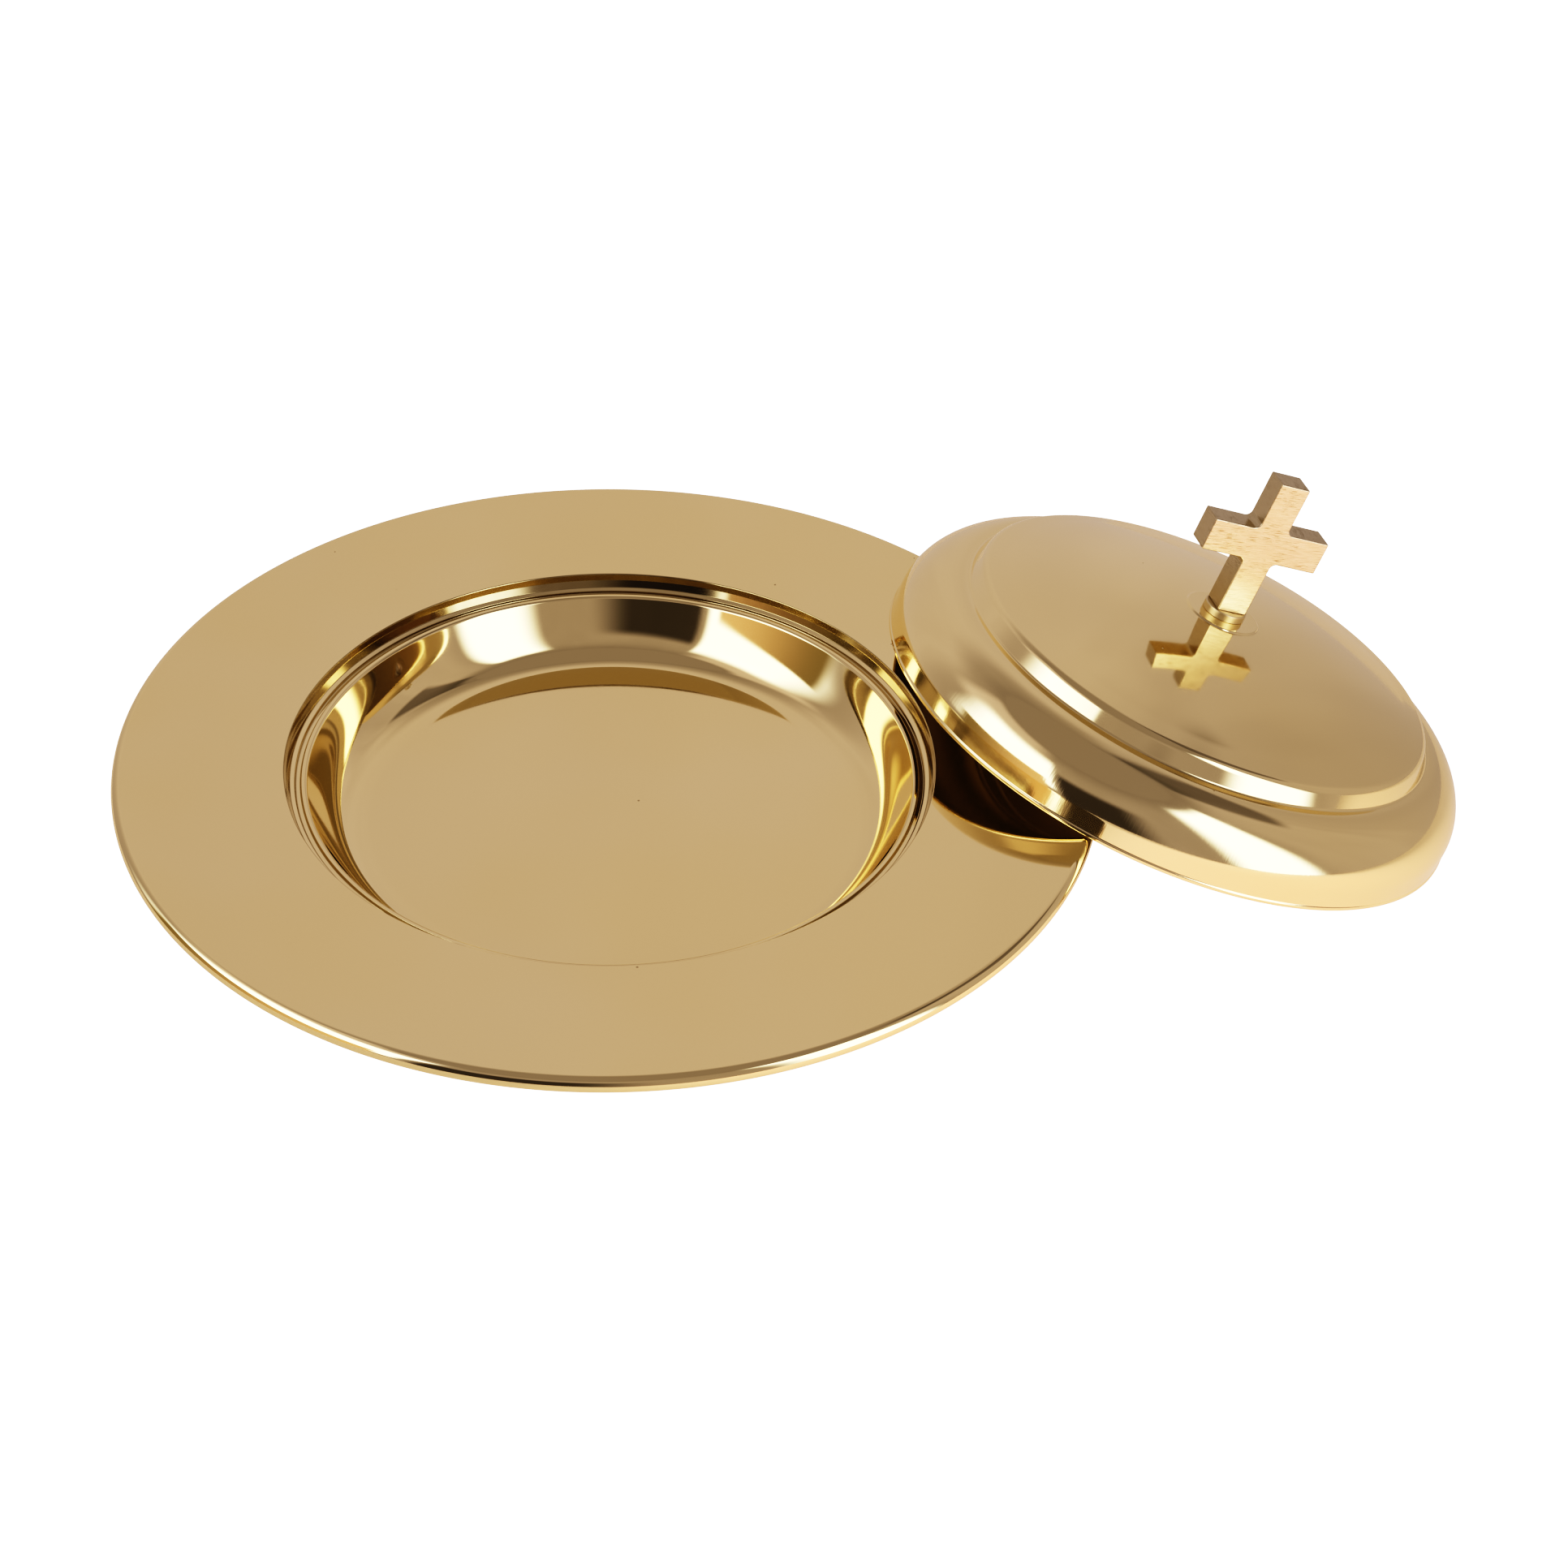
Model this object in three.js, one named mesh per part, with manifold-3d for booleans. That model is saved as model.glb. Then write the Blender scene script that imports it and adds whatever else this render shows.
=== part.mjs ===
// Communion bread plate with its cross-topped cover leaning on the rim.
// Millimetres, +Z up.  The plate's axis is vertical and the table is z = 0.
// The whole group is moved sideways so that the origin lies in the table plane,
// under the middle of the object's bounding box.
import * as THREE from "three";
import { mergeVertices } from "three/addons/utils/BufferGeometryUtils.js";
import Module from "manifold-3d";

const wasm = await Module();
wasm.setup();

// ---------------------------------------------------------------- dimensions
const ORIGIN_SHIFT = [-52.63, 0, 0]; // plate axis, seen from the object's origin

// plate, spun from one disc
const RIM_R = 127.0; // outer radius over the bead: a 254 mm (10 in) plate
const SHEET = 1.0; // sheet thickness
const BEAD_R = 2.15; // radius of the rolled bead's section
const BEAD_Z = 40.15; // height of the bead's centre
const RIM_IN_R = 84.65; // inner edge of the wide rim
const RIM_IN_Z = 38.54;
const RING_WALL = [
  [82.02, 34.18],
  [82.95, 34.53],
  [83.25, 34.9],
  [84.0, 36.75],
  [84.28, 38.15],
]; // seat and sloping wall that hold the cover's hem
const GROOVE = [
  [80.27, 34.15],
  [80.52, 33.4],
  [81.78, 33.4],
]; // groove for the foot of a plate stacked on top
const LEDGE_IN = [78.98, 34.0]; // inner corner of the shelf above the well
const LEDGE_ROLL = [
  [78.76, 33.58],
  [79.3, 34.03],
]; // roll from the shelf into the well
const WELL_FLOOR_Z = 18.55; // top of the flat bottom
const WELL_FLAT_R = 63.0; // radius at which the flat bottom starts to rise
const WELL_LEAN = 25; // degrees, the wall's lean outwards under the shelf
const WELL_PULL = 0.85; // share of each tangent that the wall's curve follows
const WELL_STEPS = 11;
const PLATE_SEGS = 48;

// stacking base ring, a spun skirt soldered under the seat
const BASE_R = 81.5; // outer radius
const BASE_WALL = 1.0;
const BASE_TOP_Z = 32.3;

// cover, spun from one disc; heights are measured from its hem plane
const COVER_C = [150.92, 43.19, 26.25]; // middle of the hem plane
const COVER_N = [0.302, 0.087]; // x and y of the cover's axis, a unit vector
const COVER_SHEET = 0.9;
const HEM = [
  [82.2, 0.0],
  [82.9, 0.0],
  [83.2, 0.35],
  [83.2, 0.85],
  [83.08, 1.2],
];
const COVER_OUTER = [
  [82.8, 6.9],
  [82.6, 8.7],
  [82.0, 10.5],
  [81.0, 12.3],
  [79.7, 14.1],
  [78.1, 15.7],
  [76.3, 17.2],
  [74.3, 18.45],
  [72.2, 19.4],
  [70.1, 20.0],
  [67.9, 20.25],
  [67.0, 21.0],
  [66.0, 23.2],
  [65.0, 24.9],
  [63.6, 25.8],
]; // side, shoulder, step and crest
const DOME_R = 210; // radius of the crown's sphere
const DOME_EDGE_R = 61.0;
const APEX_H = 35.6; // top of the seat for the finial
const SEAT_R = 10.4; // pressed flat seat
const SEAT_LIFT = 0.25;
const SCREW_HOLE_R = 2.5;
const COVER_SEGS = 48;

// finial
const CROSS_TURN = 12.5; // degrees about the cover's axis
const CROSS_GAP = 0.3; // gap left between stacked solids
const CROSS_FOOT_H = 2.2; // underside of the post above the seat
const CROSS_H = 41.55; // top of the cross above the seat
const ARM_LOW = 18.7;
const ARM_HIGH = 27.9;
const ARM_HALF = 17.5;
const POST_HALF = 4.35;
const CROSS_T = 7.4;
const CROSS_FILLET = 1.7;
const CROSS_CHAMFER = 0.3;
const COLLAR_R = 5.9;

// fixing under the crown
const SCREW_R = 2.0;
const SCREW_UP = 8.0; // thread length inside the cross
const BLIND_R = 2.35;
const HEAD_R = 3.8;
const HEAD_H = 2.6;
const SLOT_W = 1.1;
const SLOT_D = 1.2;
const WASHER_R = 6.0;
const WASHER_T = 0.8;

// ------------------------------------------------------------------- helpers
const rad = THREE.MathUtils.degToRad;

function arc(cx, cy, r, from, to, steps) {
  const out = [];
  for (let i = 0; i <= steps; i++) {
    const a = rad(from + ((to - from) * i) / steps);
    out.push([cx + r * Math.cos(a), cy + r * Math.sin(a)]);
  }
  return out;
}

// cubic curve between two points, with two control points
function curve(a, b, c, d, steps) {
  const out = [];
  for (let i = 0; i <= steps; i++) {
    const t = i / steps;
    const s = 1 - t;
    out.push([0, 1].map((k) => s ** 3 * a[k] + 3 * s * s * t * b[k] + 3 * s * t * t * c[k] + t ** 3 * d[k]));
  }
  return out;
}

function signedVolume(g) {
  const p = g.getAttribute("position");
  const idx = g.index;
  const n = idx ? idx.count : p.count;
  const at = (i) => new THREE.Vector3().fromBufferAttribute(p, idx ? idx.getX(i) : i);
  let v = 0;
  for (let i = 0; i < n; i += 3) v += at(i).dot(at(i + 1).cross(at(i + 2)));
  return v;
}

// profile of [radius, height] pairs turned about Z, faces outwards
function revolve(profile, segments) {
  const make = (pts) =>
    new THREE.LatheGeometry(
      pts.map(([r, h]) => new THREE.Vector2(r, h)),
      segments,
    ).rotateX(Math.PI / 2);
  const g = make(profile);
  return signedVolume(g) < 0 ? make([...profile].reverse()) : g;
}

function closed(profile) {
  return [...profile, profile[0]];
}

// polyline moved sideways by d, to the left of its direction, with mitred corners
function beside(line, d) {
  const dir = (a, b) => {
    const l = Math.hypot(b[0] - a[0], b[1] - a[1]);
    return [(b[0] - a[0]) / l, (b[1] - a[1]) / l];
  };
  return line.map((p, i) => {
    const before = dir(line[Math.max(i - 1, 0)], line[Math.max(i - 1, 0) + 1]);
    const after = dir(line[Math.min(i, line.length - 2)], line[Math.min(i, line.length - 2) + 1]);
    const n = [-(before[1] + after[1]), before[0] + after[0]];
    const l = Math.hypot(n[0], n[1]);
    const cosHalf = l / 2;
    return [p[0] + (n[0] / l) * (d / cosHalf), p[1] + (n[1] / l) * (d / cosHalf)];
  });
}

function solid(geometry) {
  const g = geometry.clone();
  g.deleteAttribute("normal");
  g.deleteAttribute("uv");
  const m = mergeVertices(g, 1e-4);
  return new wasm.Manifold(
    new wasm.Mesh({
      numProp: 3,
      vertProperties: new Float32Array(m.attributes.position.array),
      triVerts: new Uint32Array(m.index.array),
    }),
  );
}

function geometryOf(manifold) {
  const m = manifold.getMesh();
  const n = m.numVert;
  const v = new Float32Array(n * 3);
  for (let i = 0; i < n; i++) v.set(m.vertProperties.subarray(i * m.numProp, i * m.numProp + 3), i * 3);
  const g = new THREE.BufferGeometry();
  g.setAttribute("position", new THREE.BufferAttribute(v, 3));
  g.setIndex(new THREE.BufferAttribute(new Uint32Array(m.triVerts), 1));
  g.computeVertexNormals();
  return g;
}

function finish(color, roughness) {
  return new THREE.MeshStandardMaterial({ color, roughness, metalness: 1 });
}

function named(name, geometry, material) {
  const mesh = new THREE.Mesh(geometry, material);
  mesh.name = name;
  return mesh;
}

const polished = () => finish(0xd9b46a, 0.05);
const brushed = () => finish(0xe0bd78, 0.3);
const steel = () => finish(0xb8b8b4, 0.3);

// --------------------------------------------------------------------- plate
// Flat bottom, filleted wall, shelf, groove, ledge and sloping ring, then the
// wide, slightly conical rim that ends in a bead curled under.
const rimSlope = Math.atan2(BEAD_Z + BEAD_R - RIM_IN_Z, RIM_R - BEAD_R - RIM_IN_R);
const beadX = RIM_R - BEAD_R;
const topAngle = 90 + THREE.MathUtils.radToDeg(rimSlope);

// the wall leaves the flat bottom gently and ends steep, 1 mm short of the shelf's corner
const lean = [Math.sin(rad(WELL_LEAN)), Math.cos(rad(WELL_LEAN))];
const wallTop = [LEDGE_IN[0] - lean[0], LEDGE_IN[1] - lean[1]];
const wallRun = (wallTop[1] - WELL_FLOOR_Z) / lean[1];
const cornerR = wallTop[0] - wallRun * lean[0];
const wellCurve = curve(
  [WELL_FLAT_R, WELL_FLOOR_Z],
  [WELL_FLAT_R + WELL_PULL * (cornerR - WELL_FLAT_R), WELL_FLOOR_Z],
  [wallTop[0] - WELL_PULL * wallRun * lean[0], wallTop[1] - WELL_PULL * wallRun * lean[1]],
  wallTop,
  WELL_STEPS,
);

const plateTop = [
  [0, WELL_FLOOR_Z],
  ...wellCurve,
  ...LEDGE_ROLL,
  ...GROOVE,
  ...RING_WALL,
  [RIM_IN_R, RIM_IN_Z],
  ...[topAngle, 60, 30, 0, -30, -60, -90, -120, -150, -180].map((a) => [
    beadX + BEAD_R * Math.cos(rad(a)),
    BEAD_Z + BEAD_R * Math.sin(rad(a)),
  ]),
];
const under = SHEET;
const seatUnder = GROOVE[1][1] - 0.8; // underside below the groove
const plateUnder = [
  ...[-180, -135, -90, -45, 0, 45, topAngle].map((a) => [
    beadX + (BEAD_R - under) * Math.cos(rad(a)),
    BEAD_Z + (BEAD_R - under) * Math.sin(rad(a)),
  ]),
  [85.6, 37.63],
  [85.1, 37.3],
  [84.9, 36.5],
  [84.1, 34.5],
  [83.75, 33.65],
  [83.0, 32.95],
  [82.3, seatUnder],
  [79.9, seatUnder],
  [79.45, 32.4],
  ...beside(wellCurve, -under)
    .filter(([, z]) => z < 31.5)
    .reverse(),
  [0, WELL_FLOOR_Z - under],
];
const plate = named("plate_shell", revolve([...plateTop, ...plateUnder], PLATE_SEGS), polished());

// ----------------------------------------------------------------- base ring
const baseRing = named(
  "stacking_base_ring",
  revolve(
    closed([
      [BASE_R - BASE_WALL + 0.15, 0],
      [BASE_R - 0.15, 0],
      [BASE_R, 0.15],
      [BASE_R, BASE_TOP_Z],
      [BASE_R - BASE_WALL, BASE_TOP_Z],
      [BASE_R - BASE_WALL, 0.15],
    ]),
    PLATE_SEGS,
  ),
  polished(),
);

// --------------------------------------------------------------------- cover
const domeZ = (r) => APEX_H - SEAT_LIFT - (DOME_R - Math.sqrt(DOME_R * DOME_R - r * r));
const crown = [DOME_EDGE_R, 50, 38, 26, SEAT_R].map((r) => [r, domeZ(r)]);
const coverOuter = [
  ...HEM.slice(4),
  ...COVER_OUTER,
  ...crown,
  [SEAT_R - 0.3, APEX_H],
  [SCREW_HOLE_R, APEX_H],
];
const coverInner = beside(coverOuter, COVER_SHEET).reverse();
const coverShell = named(
  "cover_shell",
  revolve(
    closed([
      ...HEM.slice(0, 4),
      ...coverOuter,
      [SCREW_HOLE_R, APEX_H - COVER_SHEET],
      ...coverInner.slice(1, -1),
      [82.0, 1.2],
      [82.0, 0.2],
    ]),
    COVER_SEGS,
  ),
  polished(),
);

// -------------------------------------------------------------------- finial
// Solid Latin cross sawn from bar, its inner corners left round.
function crossShape() {
  const b = POST_HALF - CROSS_CHAMFER;
  const s = ARM_HALF - CROSS_CHAMFER;
  const lo = ARM_LOW + CROSS_CHAMFER;
  const hi = ARM_HIGH - CROSS_CHAMFER;
  const top = CROSS_H - CROSS_CHAMFER;
  const foot = CROSS_FOOT_H + CROSS_CHAMFER;
  const f = CROSS_FILLET;
  const sh = new THREE.Shape();
  sh.moveTo(-b, foot);
  sh.lineTo(b, foot);
  sh.lineTo(b, lo - f);
  sh.absarc(b + f, lo - f, f, Math.PI, Math.PI / 2, true);
  sh.lineTo(s, lo);
  sh.lineTo(s, hi);
  sh.lineTo(b + f, hi);
  sh.absarc(b + f, hi + f, f, -Math.PI / 2, -Math.PI, true);
  sh.lineTo(b, top);
  sh.lineTo(-b, top);
  sh.lineTo(-b, hi + f);
  sh.absarc(-b - f, hi + f, f, 0, -Math.PI / 2, true);
  sh.lineTo(-s, hi);
  sh.lineTo(-s, lo);
  sh.lineTo(-b - f, lo);
  sh.absarc(-b - f, lo - f, f, Math.PI / 2, 0, true);
  sh.lineTo(-b, foot);
  return sh;
}
const crossBlock = new THREE.ExtrudeGeometry(crossShape(), {
  depth: CROSS_T - 2 * CROSS_CHAMFER,
  bevelEnabled: true,
  bevelThickness: CROSS_CHAMFER,
  bevelSize: CROSS_CHAMFER,
  bevelSegments: 1,
  curveSegments: 4,
})
  .translate(0, 0, CROSS_CHAMFER - CROSS_T / 2)
  .rotateX(Math.PI / 2);
const blindHole = new THREE.CylinderGeometry(BLIND_R, BLIND_R, SCREW_UP + 3, 20)
  .rotateX(Math.PI / 2)
  .translate(0, 0, CROSS_FOOT_H + (SCREW_UP + 1) - (SCREW_UP + 3) / 2);
const cross = named("cross_finial", geometryOf(solid(crossBlock).subtract(solid(blindHole))), brushed());

const collar = named(
  "finial_collar",
  revolve(
    closed([
      [BLIND_R, CROSS_GAP],
      [COLLAR_R, CROSS_GAP],
      [COLLAR_R, CROSS_FOOT_H - CROSS_GAP - 0.2],
      [COLLAR_R - 0.2, CROSS_FOOT_H - CROSS_GAP],
      [BLIND_R, CROSS_FOOT_H - CROSS_GAP],
    ]),
    32,
  ),
  polished(),
);

// -------------------------------------------------------------------- fixing
const washerTop = -COVER_SHEET - CROSS_GAP;
const washer = named(
  "flat_washer",
  revolve(
    closed([
      [BLIND_R, washerTop - WASHER_T],
      [WASHER_R, washerTop - WASHER_T],
      [WASHER_R, washerTop],
      [BLIND_R, washerTop],
    ]),
    28,
  ),
  steel(),
);
const headTop = washerTop - WASHER_T - CROSS_GAP;
const screwBlank = revolve(
  [
    [0, headTop - HEAD_H],
    [HEAD_R - 1.3, headTop - HEAD_H],
    [HEAD_R - 0.3, headTop - HEAD_H + 0.7],
    [HEAD_R, headTop - HEAD_H + 1.5],
    [HEAD_R, headTop],
    [SCREW_R, headTop],
    [SCREW_R, CROSS_FOOT_H + SCREW_UP - 0.4],
    [SCREW_R - 0.4, CROSS_FOOT_H + SCREW_UP],
    [0, CROSS_FOOT_H + SCREW_UP],
  ],
  20,
);
const slotBox = new THREE.BoxGeometry(HEAD_R * 3, SLOT_W, SLOT_D * 2).translate(0, 0, headTop - HEAD_H);
const screw = named("fixing_screw", geometryOf(solid(screwBlank).subtract(solid(slotBox))), steel());

// ------------------------------------------------------------------ assembly
// The cover leans on the plate: its hem rests on the bead at two places and on
// the table at its lowest point.
const n = new THREE.Vector3(COVER_N[0], COVER_N[1], Math.sqrt(1 - COVER_N[0] ** 2 - COVER_N[1] ** 2));
const e1 = new THREE.Vector3(0, 1, 0).cross(n).normalize();
const e2 = n.clone().cross(e1);
const coverGroup = new THREE.Group();
coverGroup.quaternion.setFromRotationMatrix(new THREE.Matrix4().makeBasis(e1, e2, n));
coverGroup.position.set(...COVER_C);
coverGroup.add(coverShell);

const onSeat = new THREE.Group();
onSeat.position.z = APEX_H;
onSeat.rotation.z = rad(CROSS_TURN);
onSeat.add(collar, cross, washer, screw);
coverGroup.add(onSeat);

const group = new THREE.Group();
group.name = "bread_plate";
group.position.set(...ORIGIN_SHIFT);
group.add(plate, baseRing, coverGroup);

export default group;
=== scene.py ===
import math

import bmesh
import bpy
import numpy as np
from mathutils import Matrix, Vector


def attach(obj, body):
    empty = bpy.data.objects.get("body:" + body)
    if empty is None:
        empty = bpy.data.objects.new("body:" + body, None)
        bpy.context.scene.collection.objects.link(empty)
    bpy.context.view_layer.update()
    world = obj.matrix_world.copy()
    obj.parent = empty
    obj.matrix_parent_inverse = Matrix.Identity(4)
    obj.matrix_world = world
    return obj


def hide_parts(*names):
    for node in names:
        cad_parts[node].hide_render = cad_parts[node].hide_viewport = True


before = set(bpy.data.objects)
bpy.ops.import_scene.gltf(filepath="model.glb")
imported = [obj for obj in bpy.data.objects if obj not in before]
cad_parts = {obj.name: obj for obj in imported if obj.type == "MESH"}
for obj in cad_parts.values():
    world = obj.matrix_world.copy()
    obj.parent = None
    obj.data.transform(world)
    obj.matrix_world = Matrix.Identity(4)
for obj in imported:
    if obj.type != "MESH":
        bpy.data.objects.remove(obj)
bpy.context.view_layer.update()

# ------------------------------------------------------------------ dimensions
# Millimetres, heights above the table.  The plate's axis is vertical.
MM = 0.001
PLATE_AXIS = (-52.63, 0.0)

RIM_R = 127.0
BEAD_R = 2.15
BEAD_Z = 40.15
RIM_IN = (84.66, 38.54)
SHEET = 1.0
WELL_FLOOR_Z = 18.55
WELL_FLAT_R = 63.0
WELL_LEAN = 25.0
WELL_PULL = (0.85, 0.85)
LEDGE_ROLL = 1.0
LEDGE_IN = (78.98, 34.0)
LEDGE_OUT = (80.27, 34.15)
GROOVE_Z = 33.4

BASE_R = 81.5
BASE_WALL = 1.0
BASE_TOP = 32.62

COVER_C = (150.92, 43.19, 26.25)
COVER_N = (0.302, 0.087)
COVER_SHEET = 0.9
DOME_R = 210.0
APEX_H = 35.6
SEAT_R = 10.4
SEAT_LIFT = 0.25

CROSS_TURN = 12.5
CROSS_FOOT = 2.2
CROSS_H = 41.55
ARM_LOW = 18.7
ARM_HIGH = 27.9
ARM_HALF = 17.5
POST_HALF = 4.35
CROSS_T = 7.4
CROSS_FILLET = 1.7
COLLAR_R = 5.9

SEGS = 384

# ------------------------------------------------------------- profile helpers
# A path is a list of (r, z, tangent r, tangent z), smooth from end to end.


def unit(x, y):
    d = math.hypot(x, y)
    return x / d, y / d


def arc(cx, cz, radius, a0, a1, step=5.0):
    n = max(1, int(math.ceil(abs(a1 - a0) / step)))
    s = 1.0 if a1 > a0 else -1.0
    out = []
    for i in range(n + 1):
        a = math.radians(a0 + (a1 - a0) * i / n)
        out.append((cx + radius * math.cos(a), cz + radius * math.sin(a), -s * math.sin(a), s * math.cos(a)))
    return out


def rounded(points, step=5.0):
    """Polyline of (r, z, corner radius); each inner corner becomes an arc."""
    out = []
    last = len(points) - 1
    for i, p in enumerate(points):
        if i == 0 or i == last:
            a, b = (points[0], points[1]) if i == 0 else (points[-2], points[-1])
            t = unit(b[0] - a[0], b[1] - a[1])
            out.append((p[0], p[1], *t))
            continue
        a, b = points[i - 1], points[i + 1]
        u = unit(p[0] - a[0], p[1] - a[1])
        v = unit(b[0] - p[0], b[1] - p[1])
        turn = math.atan2(u[0] * v[1] - u[1] * v[0], u[0] * v[0] + u[1] * v[1])
        if abs(turn) < 1e-4 or p[2] <= 0:
            out.append((p[0], p[1], *unit(u[0] + v[0], u[1] + v[1])))
            continue
        cut = p[2] * math.tan(abs(turn) / 2)
        room = 0.49 * min(math.hypot(p[0] - a[0], p[1] - a[1]), math.hypot(b[0] - p[0], b[1] - p[1]))
        if i == 1:
            room = max(room, 0.98 * math.hypot(p[0] - a[0], p[1] - a[1]) if cut < 0.49 * math.hypot(b[0] - p[0], b[1] - p[1]) else room)
        radius = p[2]
        if cut > room:
            radius *= room / cut
            cut = room
        side = 1.0 if turn > 0 else -1.0
        start = (p[0] - u[0] * cut, p[1] - u[1] * cut)
        centre = (start[0] - side * u[1] * radius, start[1] + side * u[0] * radius)
        a0 = math.degrees(math.atan2(start[1] - centre[1], start[0] - centre[0]))
        out += arc(*centre, radius, a0, a0 + math.degrees(turn), step)
    return out


def bezier(p0, p1, p2, p3, n=40):
    out = []
    for i in range(n + 1):
        t = i / n
        s = 1 - t
        x = s**3 * p0[0] + 3 * s * s * t * p1[0] + 3 * s * t * t * p2[0] + t**3 * p3[0]
        z = s**3 * p0[1] + 3 * s * s * t * p1[1] + 3 * s * t * t * p2[1] + t**3 * p3[1]
        dx = s * s * (p1[0] - p0[0]) + 2 * s * t * (p2[0] - p1[0]) + t * t * (p3[0] - p2[0])
        dz = s * s * (p1[1] - p0[1]) + 2 * s * t * (p2[1] - p1[1]) + t * t * (p3[1] - p2[1])
        out.append((x, z, *unit(dx, dz)))
    return out


def chain(*paths):
    out = []
    for path in paths:
        for p in path:
            if out and math.hypot(out[-1][0] - p[0], out[-1][1] - p[1]) < 1e-4:
                continue
            out.append(p)
    return out


def beside(path, d):
    """The path moved d to the left of its direction."""
    return [(r - tz * d, z + tr * d, tr, tz) for r, z, tr, tz in path]


def backwards(path):
    return [(r, z, -tr, -tz) for r, z, tr, tz in reversed(path)]


# ---------------------------------------------------------------- mesh helpers


def put(name, verts, faces, normals, matrix, body, slot, material, nodes=()):
    """A mesh object whose vertices are already at their place in the frame."""
    turn = matrix.to_3x3()
    mesh = bpy.data.meshes.new(name)
    mesh.from_pydata([tuple(matrix @ Vector(v)) for v in verts], [], [tuple(f) for f in faces])
    mesh.update()
    mesh.shade_smooth()
    if normals is not None:
        mesh.normals_split_custom_set_from_vertices([tuple(turn @ Vector(n)) for n in normals])
    obj = bpy.data.objects.new(name, mesh)
    bpy.context.scene.collection.objects.link(obj)
    mesh.materials.append(material)
    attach(obj, body)
    if nodes:
        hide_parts(*nodes)
    return obj


def lathe(path, segs=SEGS):
    """Closed ring of revolution from a closed path, or a body that starts and ends on the axis."""
    pts = chain(path)
    if math.hypot(pts[0][0] - pts[-1][0], pts[0][1] - pts[-1][1]) < 1e-4:
        pts = pts[:-1]
    area = sum(
        a[0] * b[1] - b[0] * a[1] for a, b in zip(pts, pts[1:] + pts[:1])
    )
    flip = -1.0 if area > 0 else 1.0  # outward is to the right of a counter-clockwise path
    verts, normals, rows = [], [], []
    for r, z, tr, tz in pts:
        nr, nz = -tz * flip, tr * flip
        if r < 1e-6:
            rows.append([len(verts)])
            verts.append((0.0, 0.0, z * MM))
            normals.append((0.0, 0.0, 1.0 if nz > 0 else -1.0))
            continue
        row = []
        for k in range(segs):
            a = 2 * math.pi * k / segs
            c, s = math.cos(a), math.sin(a)
            row.append(len(verts))
            verts.append((r * c * MM, r * s * MM, z * MM))
            normals.append((nr * c, nr * s, nz))
        rows.append(row)
    faces = []
    pairs = list(zip(rows, rows[1:] + rows[:1]))
    if len(rows[0]) == 1 and len(rows[-1]) == 1:
        pairs = pairs[:-1]
    for a, b in pairs:
        for k in range(segs):
            j = (k + 1) % segs
            if len(a) == 1:
                f = [a[0], b[j], b[k]]
            elif len(b) == 1:
                f = [a[k], a[j], b[0]]
            else:
                f = [a[k], a[j], b[j], b[k]]
            faces.append(f if area > 0 else f[::-1])
    return verts, faces, normals


# ---------------------------------------------------------------------- colours
GOLD = (0.955, 0.82, 0.505)
GOLD_WARM = (0.95, 0.805, 0.475)
# painted shade: the dark colour given to the inside of the cover, which lies in shade
INSIDE_SHADE_COLOUR = (0.33, 0.27, 0.15)
STEEL = (0.58, 0.57, 0.55)


def nodes_of(name):
    mat = bpy.data.materials.new(name)
    mat.use_nodes = True
    nt = mat.node_tree
    nt.nodes.clear()
    out = nt.nodes.new("ShaderNodeOutputMaterial")
    bsdf = nt.nodes.new("ShaderNodeBsdfPrincipled")
    nt.links.new(bsdf.outputs["BSDF"], out.inputs["Surface"])
    bsdf.inputs["Metallic"].default_value = 1.0
    return mat, nt, bsdf


def math_node(nt, op, a, b=None, c=None, clamp=False):
    n = nt.nodes.new("ShaderNodeMath")
    n.operation = op
    n.use_clamp = clamp
    for i, v in enumerate((a, b, c)):
        if v is None:
            continue
        if isinstance(v, (int, float)):
            n.inputs[i].default_value = v
        else:
            nt.links.new(v, n.inputs[i])
    return n.outputs[0]


def remap(nt, value, a, b, c, d):
    n = nt.nodes.new("ShaderNodeMapRange")
    n.interpolation_type = "SMOOTHSTEP"
    nt.links.new(value, n.inputs["Value"])
    for k, v in zip(("From Min", "From Max", "To Min", "To Max"), (a, b, c, d)):
        n.inputs[k].default_value = v
    return n.outputs["Result"]


def noise(nt, vector, scale, detail=2.0, rough=0.5):
    n = nt.nodes.new("ShaderNodeTexNoise")
    n.inputs["Scale"].default_value = scale
    n.inputs["Detail"].default_value = detail
    n.inputs["Roughness"].default_value = rough
    nt.links.new(vector, n.inputs["Vector"])
    return n.outputs["Fac"]


def mix_colour(nt, fac, a, b):
    n = nt.nodes.new("ShaderNodeMix")
    n.data_type = "RGBA"
    nt.links.new(fac, n.inputs["Factor"])
    for key, v in (("A", a), ("B", b)):
        s = [i for i in n.inputs if i.name == key and i.type == "RGBA"][0]
        if isinstance(v, tuple):
            s.default_value = (*v, 1.0)
        else:
            nt.links.new(v, s)
    return [o for o in n.outputs if o.type == "RGBA"][0]


def local_coords(nt, matrix):
    """Object coordinates turned into the frame in which a piece was made."""
    tex = nt.nodes.new("ShaderNodeTexCoord")
    back = nt.nodes.new("ShaderNodeMapping")
    back.vector_type = "TEXTURE"
    back.inputs["Location"].default_value = matrix.translation
    back.inputs["Rotation"].default_value = matrix.to_euler("XYZ")
    nt.links.new(tex.outputs["Object"], back.inputs["Vector"])
    return back.outputs[0]


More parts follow.
